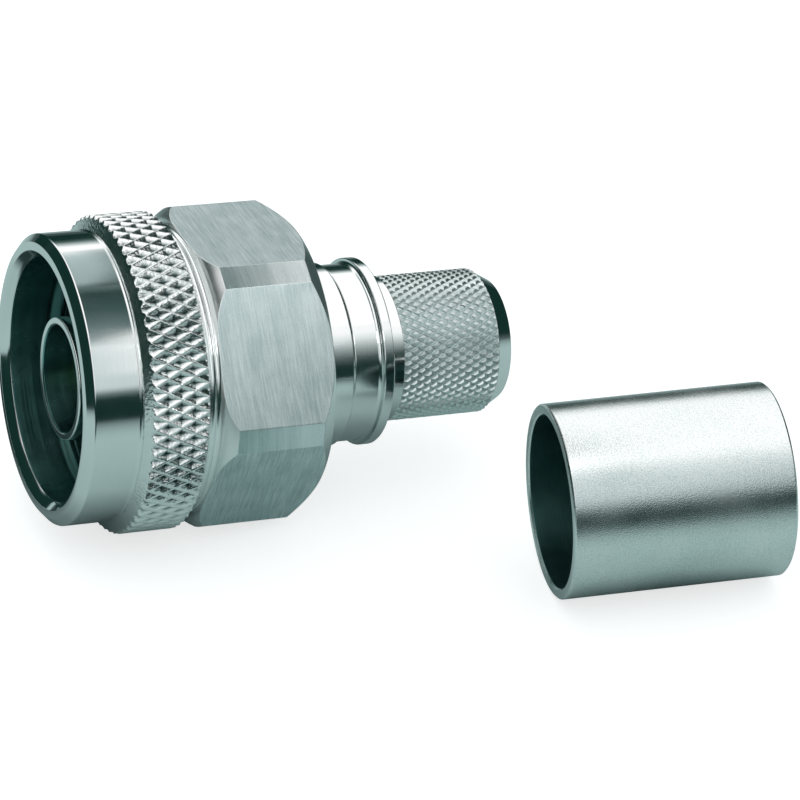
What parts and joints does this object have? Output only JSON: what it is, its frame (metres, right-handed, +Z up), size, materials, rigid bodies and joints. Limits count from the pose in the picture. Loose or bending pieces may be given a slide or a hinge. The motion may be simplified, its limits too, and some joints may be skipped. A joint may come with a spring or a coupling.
{
  "type": "n type connector",
  "caption": "Straight coaxial plug with a knurled and hexagonal coupling nut that turns on its body, a fine knurled crimp sleeve, and a plain crimp ferrule lying apart.",
  "frame": {"origin": "centre of the outer contact's front edge, on the plug's axis", "axes": "+Z up as the plug lies on a flat surface, +X towards the cable end; the plug's axis leans 5.74 degrees below +X, because it rests on its knurl and on one flat of its hexagon"},
  "size_m": [0.0443, 0.0375, 0.0211],
  "materials": {
    "plated_nut": "white bronze plating, polished bead, brushed flats",
    "plated_body": "white bronze plating, turned",
    "plated_sleeve": "white bronze plating, turned and knurled",
    "plated_ferrule": "white bronze plating, satin",
    "spring_bronze": "bare spring bronze",
    "gold_contact": "gold plated",
    "gasket_rubber": "matte rubber",
    "white_plastic": "white, matte"
  },
  "bodies": {
    "plug": {"plug_body": "plated_body", "crimp_body": "plated_sleeve", "centre_contact": "gold_contact", "front_insulator": "white_plastic", "mating_gasket": "gasket_rubber", "retaining_ring": "spring_bronze", "crimp_ferrule": "plated_ferrule"},
    "nut": {"coupling_nut": "plated_nut"}
  },
  "joints": [
    {"name": "nut_spin", "type": "hinge", "parent": "plug", "child": "nut", "pos_m": [0, 0, 0], "axis": [0.995, 0, -0.1001], "continuous": true}
  ]
}
